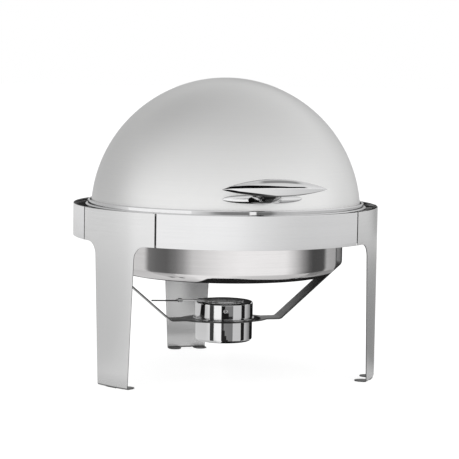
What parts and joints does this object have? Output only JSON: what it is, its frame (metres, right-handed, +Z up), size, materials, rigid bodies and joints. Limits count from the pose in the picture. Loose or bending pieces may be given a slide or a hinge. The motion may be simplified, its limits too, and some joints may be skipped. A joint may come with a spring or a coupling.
{
  "type": "roll top chafer",
  "caption": "Round buffet chafer: a domed cover rolls back over a fixed ring above nested pans, on a banded stand with curved sheet legs and a fuel burner.",
  "frame": {"origin": "on the surface the feet stand on, under the middle of the object's bounding box; the dome's vertical axis is 15.75 mm behind it, at Y = +0.01575", "axes": "+Z up, -Y is the front, where the handle is, +X is the right-hand side seen from the front; the cover rolls about a line along X"},
  "size_m": [0.45, 0.4814, 0.4358],
  "materials": {
    "satin_steel": "satin stainless steel",
    "polished_steel": "polished stainless steel",
    "plain_steel": "plain mill-finished stainless steel",
    "brushed_steel": "brushed stainless steel bar",
    "chrome": "mirror-polished",
    "rubber": "black rubber"
  },
  "bodies": {
    "stand": {"leg_front_left": "satin_steel", "leg_front_right": "satin_steel", "leg_rear": "satin_steel", "band_panel_front": "polished_steel", "band_panel_left": "polished_steel", "band_panel_right": "polished_steel", "cover_ring": "polished_steel", "frame_hoop": "plain_steel", "ring_bracket_front_left": "plain_steel", "ring_bracket_front_right": "plain_steel", "ring_bracket_rear": "plain_steel", "pivot_bracket_left": "plain_steel", "pivot_bracket_right": "plain_steel", "pivot_pin_left": "plain_steel", "pivot_pin_right": "plain_steel", "pivot_nut_left": "plain_steel", "pivot_nut_right": "plain_steel", "pan_carrier": "plain_steel", "carrier_brace_left": "plain_steel", "carrier_brace_right": "plain_steel", "carrier_arm_left": "plain_steel", "carrier_arm_right": "plain_steel", "bracket_rivet_left_front": "plain_steel", "bracket_rivet_left_rear": "plain_steel", "bracket_rivet_right_front": "plain_steel", "bracket_rivet_right_rear": "plain_steel", "burner_bracket": "brushed_steel", "pivot_bush_left": "rubber", "pivot_bush_right": "rubber", "closed_stop_left": "rubber", "closed_stop_right": "rubber", "open_stop_left": "rubber", "open_stop_right": "rubber"},
    "cover": {"cover_dome": "satin_steel", "pivot_ear_left": "plain_steel", "pivot_ear_right": "plain_steel", "handle_base": "chrome", "handle_grip": "chrome", "handle_screw_left": "plain_steel", "handle_screw_right": "plain_steel"},
    "water_pan": {"water_pan": "polished_steel"},
    "food_pan": {"food_pan": "polished_steel"},
    "burner": {"burner_cup": "chrome", "burner_cap": "chrome", "cap_rivet": "chrome", "lid_pivot_rivet": "chrome"},
    "snuffer": {"snuffer_lid": "brushed_steel", "snuffer_handle": "brushed_steel", "snuffer_rivet": "chrome"}
  },
  "joints": [
    {"name": "cover_roll", "type": "hinge", "parent": "stand", "child": "cover", "pos_m": [0, 0.01575, 0.2366], "axis": [-1, 0, 0], "range_deg": [0, 90]},
    {"name": "water_pan_lift", "type": "slide", "parent": "stand", "child": "water_pan", "axis": [0, 0, 1], "range_m": [0, 0.03]},
    {"name": "food_pan_lift", "type": "slide", "parent": "water_pan", "child": "food_pan", "axis": [0, 0, 1], "range_m": [0, 0.04]},
    {"name": "burner_lift", "type": "slide", "parent": "stand", "child": "burner", "axis": [0, 0, 1], "range_m": [0, 0.036]},
    {"name": "snuffer_swing", "type": "hinge", "parent": "burner", "child": "snuffer", "pos_m": [-0.03521, 0.02323, 0.1056], "axis": [0, 0, -1], "range_deg": [0, 80]}
  ]
}
